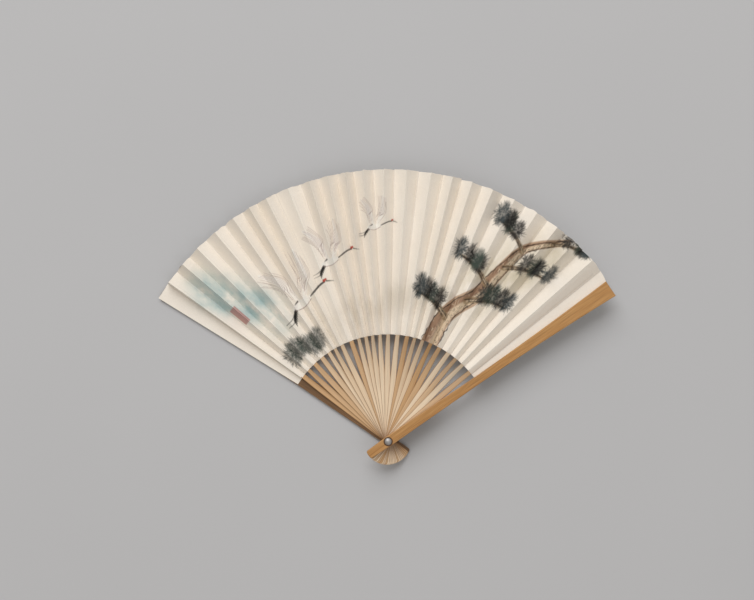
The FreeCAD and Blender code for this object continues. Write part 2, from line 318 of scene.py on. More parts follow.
# %% [markdown]
# Thin ink on damp paper spreads into soft stains with cloudy edges. They could be blurred discs, but
# a disc looks even, so each stain is cut by the same noise that tints the paper.
# %% Ground tint and washes
grain_tone = 1 - 0.05 * (cloudy[..., None] - 0.5) * np.array([0.8, 1.0, 1.4])
canvas *= grain_tone
for step in range(4):
    wash(140 - 2.5 * step, 176 - 14 * step, 20, 18, "#A3BFC0", 0.75)
for step in range(5):
    wash(112 - 11 * step, 96 + 5 * step, 34, 12, "#DCD3C4", 0.45)
    wash(64 - 4 * step, 120 + 16 * step, 24, 20, "#C4BA9E", 0.45)
print("washes laid; mean tone", canvas.mean((0, 1)).round(3))

# %% [markdown]
# A brush painter lays a trunk as one broad stroke, then scales of bark and broken dark rims over it.
# The same order is kept here. A texture would be quicker, but it would not follow the bends.
# %% Trunk and branches
BARK_DARK, BARK_SHADE, BARK_MID, BARK_LIGHT = "#352C24", "#8C6A52", "#B79678", "#E6D3B6"


def limb(points, widths, tone=BARK_MID, strength=0.8):
    """A branch: a round body of wash, scales of bark, and broken dark rims."""
    turn_per_mm = [math.degrees(1 / radius) * 0.7 for angle, radius in points]
    brush(points, widths, tone, strength * 0.9, edge=1.0)
    for side, ink, share in ((-0.26, BARK_SHADE, 0.75), (0.20, BARK_LIGHT, 0.8)):
        inner = [(angle - side * width * turn, radius)
                 for (angle, radius), width, turn in zip(points, widths, turn_per_mm)]
        brush(inner, [width * 0.36 for width in widths], ink, strength * share, edge=1.8)
    angles, radii = np.array(points).T
    for place in random.random(int(sum(widths) * 4)) * (len(points) - 1):
        width = np.interp(place, range(len(points)), widths)
        side = 0.45 - 0.9 * random.random() ** 1.8
        spot_radius = np.interp(place, range(len(points)), radii)
        spot_angle = np.interp(place, range(len(points)), angles) - side * width * math.degrees(0.7 / spot_radius)
        size = random.uniform(0.7, 1.3) + 0.03 * width
        way = random.uniform(0, 2 * math.pi)
        scale = [(spot_angle + math.degrees(size * math.cos(way + bend) / spot_radius) * 0.7,
                  spot_radius + 1.5 * size * math.sin(way + bend)) for bend in (0, 0.8, 1.6)]
        lit = random.random() < 0.3
        brush(scale, (0.3, 0.6, 0.3), BARK_LIGHT if lit else BARK_DARK, strength * (0.7 if lit else 0.55), edge=0.35)
    for side in (-1, 1):
        for place in np.arange(0, len(points) - 1, 0.12):
            spots = [min(place + step, len(points) - 1) for step in (0, 0.07, 0.14)]
            rim = [(np.interp(at, range(len(points)), angles)
                    + side * np.interp(at, range(len(points)), widths) * random.uniform(0.44, 0.52)
                    * np.interp(at, range(len(points)), turn_per_mm), np.interp(at, range(len(points)), radii))
                   for at in spots]
            brush(rim, (0.5, random.uniform(0.8, 1.9), 0.6), BARK_DARK, strength * random.uniform(0.5, 1.0), edge=0.45)


TRUNK_START, TRUNK_RISE = 82, 24  # mm from the rivet: its foot, and how far each step goes out
TRUNK_FOOT, TRUNK_LEAN, TRUNK_SWAY = 67.0, -3.6, 1.8  # degrees: its foot, its lean for each step, its winding
TRUNK = [(TRUNK_FOOT + TRUNK_LEAN * step + TRUNK_SWAY * math.sin(2.1 * step), TRUNK_START + TRUNK_RISE * step)
         for step in range(6)]
TRUNK_WIDTHS = [20 - 2.8 * step for step in range(6)]
limb(TRUNK, TRUNK_WIDTHS, strength=0.95)
trunk_angles, trunk_radii = np.array(TRUNK).T
branches = []
for index in range(6):
    at, turn = 0.9 + 0.75 * index, -1 if index % 2 else 1
    root = np.array([np.interp(at, range(6), trunk_angles), np.interp(at, range(6), trunk_radii)])
    reach = 13.5 - 1.2 * index
    branch = [tuple(root + (turn * reach * share, 20 * share - 8 * share ** 2)) for share in (0, 0.35, 0.7, 1)]
    limb(branch, (6 - 0.5 * index, 4.5 - 0.4 * index, 3, 1.5), "#9A8260", 0.85)
    branches.append(branch)
print("trunk and branches drawn")

# %% [markdown]
# Needles are short flicks over a patch of thin ink. Many small strokes with a frayed rim read as a
# tuft, where one dark shape would read as a leaf.
# %% Pine needles


def tuft(angle, radius, wide, tall, ink, strength):
    """A cloud of pine needles: thin ink first, then hundreds of short flicks that fray its rim."""
    turn = math.degrees(1 / radius) * 0.72
    brush([(angle, radius - tall * 0.7), (angle, radius), (angle, radius + tall * 0.7)],
          (wide * 0.6, wide * 1.6, wide * 0.8), ink, strength * 0.85, edge=wide * 0.5)
    for _ in range(int(wide * tall * 1.8)):
        way, reach = random.uniform(0, 2 * math.pi), random.random() ** 0.5
        root = (angle + wide * 0.95 * reach * math.cos(way) * turn, radius + tall * 0.9 * reach * math.sin(way))
        lean = way + random.uniform(-0.9, 0.9)
        length = random.uniform(2.0, 4.2)
        tip = (root[0] + length * math.cos(lean) * turn, root[1] + length * math.sin(lean))
        brush([root, tip], (0.75, 0.3), ink, strength * (1.0 - 0.45 * reach), edge=0.4)


DARK_NEEDLE, BLUE_NEEDLE, GREEN_NEEDLE, GREY_NEEDLE = "#272625", "#3C4547", "#3E4A42", "#6C6D68"
inks = (DARK_NEEDLE, GREEN_NEEDLE, DARK_NEEDLE, BLUE_NEEDLE)
tufts = []
for branch in branches:
    for index, share in enumerate((1.1, 1.7, 2.3, 2.9)):
        angle = np.interp(share, range(4), [place[0] for place in branch]) + random.uniform(-0.8, 0.8)
        radius = np.interp(share, range(4), [place[1] for place in branch]) + 5
        tufts.append((angle, radius, random.uniform(5, 8), random.uniform(7, 10), inks[index], 0.9))
for index in range(7):
    tufts.append((139 - 2.6 * index, 96 + 3 * math.sin(index), 5.5, 9, (GREY_NEEDLE, GREEN_NEEDLE)[index % 2], 0.8))
for angle, radius, wide, tall, ink, strength in tufts:
    tuft(angle, radius, wide, tall, ink, strength)
print(len(tufts), "tufts of needles; darkest tone", canvas.min().round(3))

# %% [markdown]
# A flying crane is a few strokes: pale wings with fine quills, a dark neck and tail, and a red crown.
# One pose in three sizes is enough for birds that fly away in a row.
# %% Cranes
FEATHER_WHITE, FEATHER_LINE, FEATHER_BLACK, CROWN_RED = "#FAF5EE", "#8F7773", "#22211F", "#B9402F"


def crane(angle, radius, size, wings, neck):
    """A crane that flies to the right. Its own places are (along, up) in body lengths."""
    def spot(along, up):
        return angle - math.degrees(size * along / radius) * 0.75, radius + size * up

    def stroke(places, widths, ink, strength, edge=0.35):
        brush([spot(*place) for place in places], [max(width * size, 0.35) for width in widths], ink, strength, edge)

    for root, tip, spread in wings:
        root, tip = np.array(root), np.array(tip)
        aside = np.array([tip[1] - root[1], root[0] - tip[0]])
        bend = (root + tip) / 2 + aside * 0.10
        stroke([root, bend, tip], (spread * 0.5, spread, spread * 0.25), FEATHER_WHITE, 0.85, 1.2)
        quills = 5 + int(size * np.hypot(*(tip - root)) * spread)
        for place in np.linspace(-0.5, 0.5, quills):
            end = tip + aside * place * 0.35 - (tip - root) * random.uniform(0, 0.3) * abs(place) * 2
            shoulder = root + (tip - root) * random.uniform(0.15, 0.45) + aside * place * (0.10 + 0.4 * spread)
            stroke([shoulder, bend + aside * place * (0.1 + spread), end], (0.003, 0.008, 0.004),
                   FEATHER_LINE, 0.60, 0.3)
        for step in np.linspace(0.10, 0.70, int(size / 4)):
            for side in (-1, 1):
                on_wing = root + (tip - root) * step + aside * side * spread * 0.18
                barb = [on_wing, on_wing + (tip - root) * 0.05 + aside * side * 0.04]
                stroke(barb, (0.005, 0.003), FEATHER_LINE, 0.35, 0.3)
    for index in range(7):
        start = (-0.10 - 0.035 * index, 0.09 - 0.03 * index)
        stroke([start, (start[0] - 0.09, start[1] - 0.05), (start[0] - 0.12, start[1] - 0.15)],
               (0.035, 0.050, 0.012), FEATHER_BLACK, 0.92)
    stroke([(-0.26, 0.02), (-0.02, 0.02), (0.20, 0.06)], (0.06, 0.15, 0.06), FEATHER_WHITE, 0.9, 0.8)
    stroke([(-0.26, -0.03), (-0.02, -0.05), (0.20, 0.02)], (0.008, 0.012, 0.008), FEATHER_LINE, 0.9)
    stroke([(0.20, 0.06)] + neck, [0.022] + [0.034] * len(neck), FEATHER_BLACK, 0.9)
    head = np.array(neck[-1])
    stroke([head + (-0.01, 0.02), head + (0.04, 0.03)], (0.05, 0.035), CROWN_RED, 0.95)
    stroke([head + (0.04, 0.0), head + (0.19, -0.04)], (0.028, 0.008), "#5C5C50", 0.9)
    for drop in (-0.10, -0.16):
        stroke([(-0.24, 0.0), (-0.42, drop), (-0.62, drop - 0.02)], (0.012, 0.016, 0.010), FEATHER_BLACK, 0.8)


WINGS = [((-0.06, 0.05), (-0.42, 0.80), 0.20), ((0.06, 0.05), (0.30, 0.86), 0.20)]
NECK = [(0.32, 0.10), (0.46, 0.15), (0.60, 0.18)]
for index in range(3):
    crane(121 - 14 * index, 122 + 20 * index, 46 - 9 * index, WINGS, NECK)
for mark_angle in np.linspace(140.3, 138.5, 7):
    brush([(mark_angle, 140), (mark_angle, 155)], (1.4, 1.4), "#B4706A", 0.75, 0.5)
print("three cranes drawn; darkest tone", canvas.min().round(3))

# %% [markdown]
# ## The pleated leaf
#
# Every panel of the leaf is a sector of a flat ring. From its valley it rises to the peak on its
# left or right, by the tilt found above. A modifier could fold one long grid, but then the panels
# couldn't part when the fan closes, so each panel is a thin closed shell of its own that shares
# its edge lines with its neighbours. The panels over the ribs bulge a little and show the end of
# the bamboo slip inside; the panels between them sink a little. The front has a point about every
# half millimetre, which is what carries the painting, and the back is coarser.
# %% The shell of one panel
ROWS = 250
COLUMNS = 24
BACK_EVERY = 4
FREE_PAPER = 0.12 * MM
RIB_PANEL_PAPER = 0.28 * MM
SLIP_HEIGHT = 0.16 * MM
SLIP_TIP = 200.6 * MM
VALLEY_ROUND = 0.45 * MM


def slip_relief(radius, across):
    """How far the bamboo slip inside a rib panel lifts the paper, across being from -1/2 to 1/2."""
    half_width = np.interp(radius, [LEAF_INNER, SLIP_TIP], [2.4 * MM, 4.6 * MM])
    side = across * radius * math.radians(PANEL_ANGLE)
    rounded = np.clip((half_width - np.abs(side)) / (0.8 * MM), 0, 1)
    tip = SLIP_TIP - 1.2 * MM * (side / half_width) ** 2
    ended = np.clip((tip - radius) / (0.55 * MM), 0, 1)
    return SLIP_HEIGHT * rounded * rounded * (3 - 2 * rounded) * ended * ended * (3 - 2 * ended)


def panel_points(radius, share, valley, level, side, width, tilt, peak_shift, relief, rounding):
    """Points of a panel: share runs from its valley (0) to its peak (1), side is +1 to the right."""
    valley, tilt = math.radians(valley), math.radians(tilt)
    outwards = np.array([math.cos(valley), math.sin(valley), 0])
    sideways = np.array([math.sin(valley), -math.cos(valley), 0]) * side
    upwards = np.array([0, 0, 1.0])
    slope = sideways * math.cos(tilt) + upwards * math.sin(tilt)
    normal = upwards * math.cos(tilt) - sideways * math.sin(tilt)
    turn = share * math.radians(width)
    risen = radius * np.sin(turn) * math.sin(tilt)
    valley_round = rounding * radius / LEAF_OUTER * math.sin(tilt)
    filled = np.hypot(risen, valley_round) - risen
    return (radius[..., None] * (np.cos(turn)[..., None] * outwards + np.sin(turn)[..., None] * slope)
            + relief[..., None] * normal + (level + peak_shift * share + filled)[..., None] * upwards)


# %% A mesh from the points


def shell(name, front, back, painted):
    """A closed mesh between a fine front grid and a back grid with fewer columns."""
    rows, columns = front.shape[:2]
    back_columns = back.shape[1]
    first = rows * columns
    points = np.concatenate([front.reshape(-1, 3), back.reshape(-1, 3)])
    i, j = np.meshgrid(np.arange(rows - 1), np.arange(columns - 1), indexing="ij")
    corner = (i * columns + j).ravel()
    faces = np.stack([corner, corner + 1, corner + columns + 1, corner + columns], 1).tolist()
    i, j = np.meshgrid(np.arange(rows - 1), np.arange(back_columns - 1), indexing="ij")
    corner = (first + i * back_columns + j).ravel()
    faces += np.stack([corner, corner + back_columns, corner + back_columns + 1, corner + 1], 1).tolist()
    for row in range(rows - 1):
        here, there = row * columns, (row + 1) * columns
        under, beyond = first + row * back_columns, first + (row + 1) * back_columns
        faces.append([here, there, beyond, under])
        faces.append([here + columns - 1, under + back_columns - 1, beyond + back_columns - 1, there + columns - 1])
    for row in (0, rows - 1):
        rim = [row * columns + column for column in range(columns)]
        rim += [first + row * back_columns + column for column in range(back_columns - 1, -1, -1)]
        faces.append(rim[::-1] if row == 0 else rim)
    mesh = bpy.data.meshes.new(name)
    mesh.from_pydata(points.tolist(), [], faces)
    tint = np.ones((len(points), 4))
    tint[:, :3] = PAPER_WHITE * 0.97
    tint[:first, :3] = painted.reshape(-1, 3)
    layer = mesh.color_attributes.new("painting", "FLOAT_COLOR", "POINT")
    layer.data.foreach_set("color", tint.astype(np.float32).ravel())
    return mesh


def look_up(flat, radius):
    """The canvas colour at an angle of the flat sheet, in degrees, and a radius in mm."""
    row = np.clip((radius - radius_rows[0]) / RADIUS_STEP, 0, len(radius_rows) - 1.001)
    column = np.clip(flat / ANGLE_STEP, 0, len(angle_columns) - 1.001)
    i, j = row.astype(int), column.astype(int)
    u, v = (row - i)[..., None], (column - j)[..., None]
    return ((canvas[i, j] * (1 - v) + canvas[i, j + 1] * v) * (1 - u)
            + (canvas[i + 1, j] * (1 - v) + canvas[i + 1, j + 1] * v) * u)


# %% One panel as an object


def make_panel(name, valley, level, side, width, tilt, peak_shift, sheet_start, thickness, kind,
               reach=(LEAF_OUTER, LEAF_OUTER)):
    """A panel of the leaf, of kind rib, free, upright or end; sheet_start is the sheet's angle at its left.

    reach is how far out the panel goes along its valley and along its peak."""
    edge_wobble = 0.25 * MM * random.standard_normal(4)
    share = np.linspace(0, 1, COLUMNS + 1) if side > 0 else np.linspace(1, 0, COLUMNS + 1)
    outer = reach[0] + share * (reach[1] - reach[0])
    outer += np.interp(np.linspace(0, 3, COLUMNS + 1), range(4), edge_wobble)
    steps = np.linspace(0, 1, ROWS + 1)[:, None]
    radius = LEAF_INNER + steps * (outer[None] - LEAF_INNER)
    share = np.broadcast_to(share[None], radius.shape)
    bow = 4 * share * (1 - share) * radius / LEAF_OUTER * random.uniform(0.85, 1.1)
    bulge = {"rib": 0.20 * MM, "free": -0.18 * MM, "upright": -0.10 * MM, "end": 0.0}[kind]
    rounding = 0.0 if kind == "upright" else VALLEY_ROUND
    sway = bulge * 0.15 * np.sin(radius / (9 * MM) + random.uniform(0, 6)) * 4 * share * (1 - share)
    slip = slip_relief(radius, share - 0.5) if kind == "rib" else np.zeros(radius.shape)
    front = panel_points(radius, share, valley, level, side, width, tilt, peak_shift,
                         bulge * bow + slip + sway, rounding)
    flat = sheet_start + np.linspace(0, width, COLUMNS + 1)[None] + 0 * radius
    painted = look_up(flat, radius / MM)
    to_valley = share * np.radians(width) * radius
    to_peak = (1 - share) * np.radians(width) * radius
    # Painted shade: the paper is darkened along each valley and in a thin line along the edge of the slip's relief, and
    # made a little lighter along each peak.
    painted_shade_and_peak_lightening = 1 - 0.16 * np.exp(-(to_valley / (0.45 * MM)) ** 2) + 0.05 * np.exp(-(to_peak / (0.35 * MM)) ** 2)
    risen = slip / SLIP_HEIGHT
    painted_shade_and_peak_lightening -= 0.07 * 4 * risen * (1 - risen)
    painted = np.clip(painted * painted_shade_and_peak_lightening[..., None], 0, 0.93)
    keep = slice(None, None, BACK_EVERY)
    back = panel_points(radius[:, keep], share[:, keep], valley, level, side, width, tilt, peak_shift,
                        bulge * bow[:, keep], rounding)
    back[..., 2] -= thickness / math.cos(math.radians(tilt))
    mesh = shell(name, front, back, painted)
    panel = bpy.data.objects.new(name, mesh)
    scene.collection.objects.link(panel)
    return panel


# %% [markdown]
# ## How the leaf moves
#
# As the fan closes, a rib panel lies down flat on its rib, and the free panel next to it swings
# right over on top of it. The free panel simply rides on its pleat's body. The rib panel turns
# about the same valley by less, but here its mesh is only baked in place and tied to no body.
# %% Two helpers for ribs and panels


def smoothstep_share(weight):
    """Where between 0 and 1 the smoothstep curve reaches that weight."""
    return 0.5 - math.sin(math.asin(1 - 2 * weight) / 3)


def turn_by_share(piece):
    """Bakes the piece's placement into its mesh; it is not turned, blended or tied to a body."""
    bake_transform(piece)


# %% Make all panels
leaf_panels = []
sheet_angle = flat_edges[1]
rear_end = make_panel("leaf_end_rear", valley_angle[0], valley_level[0] - 0.015 * MM, -1, PANEL_ANGLE, 0.0, 0.0,
                      flat_edges[0], 0.03 * MM, kind="end", reach=(REAR_END_REACH, REAR_END_REACH))
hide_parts("rear_facing")
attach(rear_end, "rear_side")
leaf_panels.append(rear_end)
for number in range(RIBS + 1):
    pleat = f"pleat_{number:02d}"
    if number > 0:
        step = valley_level[number] - valley_level[number - 1]
        panel = make_panel(f"leaf_rib_panel_{number:02d}", valley_angle[number], valley_level[number], -1,
                           PANEL_ANGLE, rib_tilt[number], -step / 2, sheet_angle, RIB_PANEL_PAPER, kind="rib")
        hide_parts(f"leaf_fold_{number:02d}")
        turn_by_share(panel)
        sheet_angle += PANEL_ANGLE
        leaf_panels.append(panel)
    rise = (valley_level[number + 1] - valley_level[number]) / 2 if number < RIBS else 0.0
    panel = make_panel(f"leaf_free_panel_{number:02d}", valley_angle[number], valley_level[number], 1,
                       free_width[number], free_tilt[number], rise, sheet_angle, FREE_PAPER,
                       kind="free" if number > 0 else "upright",
                       reach=(LEAF_OUTER, LEAF_OUTER if number < RIBS else GUARD_TIP))
    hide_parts(f"leaf_fold_{number:02d}")
    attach(panel, pleat)
    sheet_angle += free_width[number]
    leaf_panels.append(panel)
facing_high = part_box("front_facing")[1]
front_end = make_panel("leaf_end_front", stick_angle[0] - SPREAD - PANEL_ANGLE / 2, facing_high[2], -1,
                       PANEL_ANGLE, 0.0, 0.0, sheet_angle, 0.1 * MM, kind="end", reach=(GUARD_TIP, GUARD_TIP))
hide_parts("front_facing")
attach(front_end, "front_side")
leaf_panels.append(front_end)
print(len(leaf_panels), "panels,", sum(len(panel.data.polygons) for panel in leaf_panels), "faces")

# %% [markdown]
# ## Painted paper
#
# The leaf is matt handmade paper, pasted in two layers and painted in ink. Its colour comes from
# the painting that each point carries. Fibres 0.4 mm thick and soft lumps of about 3 mm are put
# in as bump, and a faint mottle in the colour keeps large white areas from looking like plastic.
# %% Paper material
paper, tree, shader = new_material("handmade_paper_matt", Roughness=0.88, IOR=1.45)
painting = add_node(tree, "ShaderNodeAttribute", {"attribute_name": "painting"})
place = add_node(tree, "ShaderNodeTexCoord")
fibres = add_node(tree, "ShaderNodeTexNoise", inputs={
    "Vector": place.outputs["Object"], "Scale": 1 / (0.8 * MM), "Detail": 4.0, "Roughness": 0.6})
lumps = add_node(tree, "ShaderNodeTexNoise", inputs={"Vector": place.outputs["Object"], "Scale": 1 / (6 * MM)})
mottle = add_node(tree, "ShaderNodeMapRange", inputs={
    "Value": fibres.outputs["Fac"], "From Min": 0.3, "From Max": 0.7, "To Min": 0.95, "To Max": 1.02})
tinted = add_node(tree, "ShaderNodeVectorMath", {"operation": "SCALE"}, {
    0: painting.outputs["Color"], "Scale": mottle.outputs["Result"]})
tree.links.new(tinted.outputs[0], shader.inputs["Base Color"])
fine_bump = add_node(tree, "ShaderNodeBump", inputs={
    "Height": fibres.outputs["Fac"], "Strength": 0.5, "Distance": 0.06 * MM})
soft_bump = add_node(tree, "ShaderNodeBump", inputs={
    "Height": lumps.outputs["Fac"], "Strength": 0.5, "Distance": 0.35 * MM, "Normal": fine_bump.outputs["Normal"]})
tree.links.new(soft_bump.outputs["Normal"], shader.inputs["Normal"])
for panel in leaf_panels:
    panel.data.materials.append(paper)
    panel.data.polygons.foreach_set("use_smooth", [True] * len(panel.data.polygons))
    panel.data.set_sharp_from_angle(angle=math.radians(35))

# %% [markdown]
# ## Bamboo
#
# Ribs and guards are split bamboo: fibres run straight from the rivet to the tip, and there are
# no rings. The grain is noise that is stretched forty times along the stick, so on the guards a
# Mapping node first turns it to the stick's direction. The guards are smoked to honey brown and
# waxed; the rear guard's darker tones are painted shade from the ribs above it. The ribs are bare
# and pale, each from another cane, so each gets a tint of its own.
# %% Guard material


def guard_bamboo(name, angle, tones):
    """Smoked, waxed bamboo: satin, in three tones, with fine fibres along the stick at that angle."""
    material, tree, shader = new_material(name, Roughness=0.42, IOR=1.5)
    place = add_node(tree, "ShaderNodeTexCoord")
    turned = add_node(tree, "ShaderNodeMapping", {"vector_type": "TEXTURE"}, {
        "Vector": place.outputs["Object"], "Rotation": (0, 0, math.radians(angle - 90))})
    fine_place = add_node(tree, "ShaderNodeMapping", inputs={
        "Vector": turned.outputs[0], "Scale": (1 / (0.55 * MM), 1 / (22 * MM), 1 / (0.55 * MM))})
    fibres = add_node(tree, "ShaderNodeTexNoise", inputs={
        "Vector": fine_place.outputs[0], "Scale": 1.0, "Detail": 5.0, "Roughness": 0.65})
    broad_place = add_node(tree, "ShaderNodeMapping", inputs={
        "Vector": turned.outputs[0], "Scale": (1 / (3 * MM), 1 / (70 * MM), 1 / (3 * MM))})
    streaks = add_node(tree, "ShaderNodeTexNoise", inputs={
        "Vector": broad_place.outputs[0], "Scale": 1.0, "Detail": 2.0})
    body_tone = add_node(tree, "ShaderNodeValToRGB", inputs={"Fac": fibres.outputs["Fac"]})
    stops = body_tone.color_ramp.elements
    stops[0].position, stops[0].color = 0.30, colour(tones[0])
    stops[1].position, stops[1].color = 0.70, colour(tones[2])
    middle = stops.new(0.5)
    middle.color = colour(tones[1])
    streaked = add_node(tree, "ShaderNodeMix", {"data_type": "RGBA", "blend_type": "MULTIPLY"}, {"Factor": 0.6})
    tree.links.new(body_tone.outputs["Color"], streaked.inputs[6])
    streak_tone = add_node(tree, "ShaderNodeValToRGB", inputs={"Fac": streaks.outputs["Fac"]})
    streak_tone.color_ramp.elements[0].position = 0.3
    streak_tone.color_ramp.elements[0].color = colour("#E4D3B8")
    streak_tone.color_ramp.elements[1].position = 0.62
    streak_tone.color_ramp.elements[1].color = colour("#FFFFFF")
    tree.links.new(streak_tone.outputs["Color"], streaked.inputs[7])
    across = add_node(tree, "ShaderNodeVectorMath", {"operation": "MULTIPLY"}, {
        0: place.outputs["Object"], 1: (1, 1, 0)})
    from_rivet = add_node(tree, "ShaderNodeVectorMath", {"operation": "LENGTH"}, {0: across.outputs[0]})
    charred = add_node(tree, "ShaderNodeMapRange", {"interpolation_type": "SMOOTHSTEP"}, {
        "Value": from_rivet.outputs["Value"], "From Min": 3.2 * MM, "From Max": 3.9 * MM,
        "To Min": 0.85, "To Max": 0.0})
    burnt = add_node(tree, "ShaderNodeMix", {"data_type": "RGBA"}, {"Factor": charred.outputs["Result"]})
    tree.links.new(streaked.outputs[2], burnt.inputs[6])
    burnt.inputs[7].default_value = colour("#4A2C16")
    tree.links.new(burnt.outputs[2], shader.inputs["Base Color"])
    bump = add_node(tree, "ShaderNodeBump", inputs={
        "Height": fibres.outputs["Fac"], "Strength": 0.35, "Distance": 0.08 * MM})
    tree.links.new(bump.outputs["Normal"], shader.inputs["Normal"])
    return material


HONEY_TONES = ("#9A7040", "#BD8D54", "#CFA169")
# Painted shade: the rear guard gets darker tones of the same bamboo, for the shade the ribs cast on it.
REAR_GUARD_SHADE_TONES = ("#5E452C", "#7A5B3C", "#8F6E4A")
for node, angle, tones in (("rear_guard", REAR_GUARD_ANGLE, REAR_GUARD_SHADE_TONES),
                           ("front_guard", REAR_GUARD_ANGLE - SPREAD, HONEY_TONES)):
    frame["nodes"][node].material_slots[0].material = guard_bamboo("smoked_bamboo_" + node, angle, tones)

# %% Rib material
rib_bamboo, tree, shader = new_material("pale_split_bamboo", Roughness=0.5, IOR=1.5)
grain = add_node(tree, "ShaderNodeAttribute", {"attribute_name": "grain"})
tint = add_node(tree, "ShaderNodeAttribute", {"attribute_name": "tint"})
fine_place = add_node(tree, "ShaderNodeMapping", inputs={
    "Vector": grain.outputs["Vector"], "Scale": (1 / (0.5 * MM), 1 / (20 * MM), 1.0)})
fibres = add_node(tree, "ShaderNodeTexNoise", inputs={
    "Vector": fine_place.outputs[0], "Scale": 1.0, "Detail": 4.0, "Roughness": 0.6})
cane = add_node(tree, "ShaderNodeValToRGB", inputs={"Fac": tint.outputs["Fac"]})
cane.color_ramp.elements[0].color = colour("#D0A573")
cane.color_ramp.elements[1].color = colour("#F8E3C5")
fibre_tone = add_node(tree, "ShaderNodeMapRange", inputs={
    "Value": fibres.outputs["Fac"], "From Min": 0.3, "From Max": 0.7, "To Min": 0.82, "To Max": 1.06})
# Painted shade: towards both long edges each rib's colour is mixed with dark brown, for the thin shadow lines between
# the ribs.
side = add_node(tree, "ShaderNodeAttribute", {"attribute_name": "side"})
from_middle = add_node(tree, "ShaderNodeMath", {"operation": "ABSOLUTE"}, {0: side.outputs["Fac"]})
painted_edge_shade = add_node(tree, "ShaderNodeMapRange", {"interpolation_type": "SMOOTHSTEP"}, {
    "Value": from_middle.outputs[0], "From Min": 0.38, "From Max": 0.5, "To Min": 0.0, "To Max": 0.85})
toned = add_node(tree, "ShaderNodeVectorMath", {"operation": "SCALE"}, {
    0: cane.outputs["Color"], "Scale": fibre_tone.outputs["Result"]})
edged = add_node(tree, "ShaderNodeMix", {"data_type": "RGBA"}, {"Factor": painted_edge_shade.outputs["Result"]})
tree.links.new(toned.outputs[0], edged.inputs[6])
edged.inputs[7].default_value = colour("#94663C")
tree.links.new(edged.outputs[2], shader.inputs["Base Color"])
bump = add_node(tree, "ShaderNodeBump", inputs={
    "Height": fibres.outputs["Fac"], "Strength": 0.3, "Distance": 0.06 * MM})
tree.links.new(bump.outputs["Normal"], shader.inputs["Normal"])

# %% [markdown]
# ## Ribs, with Geometry Nodes
#
# All ribs follow one rule, so one node tree makes them: a strip that narrows towards the tail,
# thins towards the leaf, has soft edges and a hole for the rivet. On the open fan the pleats hold
# each rib at their own tilt, so the bamboo twists between the rivet and the leaf. The tree shapes
# the strip flat and then turns each point about the valley line, by more the further out it is.
# Its named inputs are what differs from rib to rib.
# %% The tree's inputs
RIB_INNER_END = 20.0 * MM
rib_tree = bpy.data.node_groups.new("twisted_rib", "GeometryNodeTree")
rib_tree.interface.new_socket("Geometry", in_out="OUTPUT", socket_type="NodeSocketGeometry")
RIB_INPUTS = {
    "Tail reach": 18.2 * MM, "Leaf reach": 82.0 * MM, "Tail width": 4.6 * MM, "Rivet width": 5.2 * MM,
    "Leaf width": 4.9 * MM, "Thickness": 0.5 * MM, "Leaf thickness": 0.3 * MM, "Corner": 1.7 * MM,
    "Stick angle": 0.0, "Valley angle": 0.0, "Top level": 0.0, "Valley level": 0.0,
    "Twist": 0.0, "Twist start": RIB_INNER_END, "Twist end": 0.15, "Hole radius": 1.55 * MM, "Tint": 0.5, "Number": 1.0,
}
for name, value in RIB_INPUTS.items():
    socket = rib_tree.interface.new_socket(name, in_out="INPUT", socket_type="NodeSocketFloat")
    socket.default_value = value
identifiers = {item.name: item.identifier for item in rib_tree.interface.items_tree if item.in_out == "INPUT"}
given = add_node(rib_tree, "NodeGroupInput").outputs
print("the rib tree has", len(identifiers), "inputs")

# %% The flat strip
blank = add_node(rib_tree, "GeometryNodeMeshCube", inputs={
    "Size": (1, 1, 1), "Vertices X": 11, "Vertices Y": 110, "Vertices Z": 3})
unit = add_node(rib_tree, "ShaderNodeSeparateXYZ", inputs={
    0: add_node(rib_tree, "GeometryNodeInputPosition").outputs[0]})
tail_end = add_node(rib_tree, "ShaderNodeMath", {"operation": "MULTIPLY"}, {0: given["Tail reach"], 1: -1.0})
reach = add_node(rib_tree, "ShaderNodeMapRange", inputs={
    "Value": unit.outputs["Y"], "From Min": -0.5, "From Max": 0.5,
    "To Min": tail_end.outputs[0], "To Max": given["Leaf reach"]})
tail_part = add_node(rib_tree, "ShaderNodeMapRange", inputs={
    "Value": reach.outputs[0], "From Min": tail_end.outputs[0], "From Max": 0.0,
    "To Min": given["Tail width"], "To Max": given["Rivet width"]})
taper = add_node(rib_tree, "ShaderNodeMapRange", inputs={
    "Value": reach.outputs[0], "From Min": 0.0, "From Max": given["Leaf reach"], "To Min": 0.0, "To Max": 1.0})
width = add_node(rib_tree, "ShaderNodeMix", {"data_type": "FLOAT"}, {
    "Factor": taper.outputs[0], "A": tail_part.outputs[0], "B": given["Leaf width"]})
corner_end = add_node(rib_tree, "ShaderNodeMath", {"operation": "ADD"}, {0: tail_end.outputs[0], 1: given["Corner"]})
in_corner = add_node(rib_tree, "ShaderNodeMapRange", inputs={
    "Value": reach.outputs[0], "From Min": tail_end.outputs[0], "From Max": corner_end.outputs[0],
    "To Min": 1.0, "To Max": 0.0})
squared = add_node(rib_tree, "ShaderNodeMath", {"operation": "POWER"}, {0: in_corner.outputs[0], 1: 2.5})
cut = add_node(rib_tree, "ShaderNodeMath", {"operation": "MULTIPLY"}, {0: squared.outputs[0], 1: given["Corner"]})
trimmed = add_node(rib_tree, "ShaderNodeMath", {"operation": "MULTIPLY_ADD"}, {
    0: cut.outputs[0], 1: -1.6, 2: width.outputs[0]})
across = add_node(rib_tree, "ShaderNodeMath", {"operation": "MULTIPLY"}, {0: unit.outputs["X"], 1: trimmed.outputs[0]})

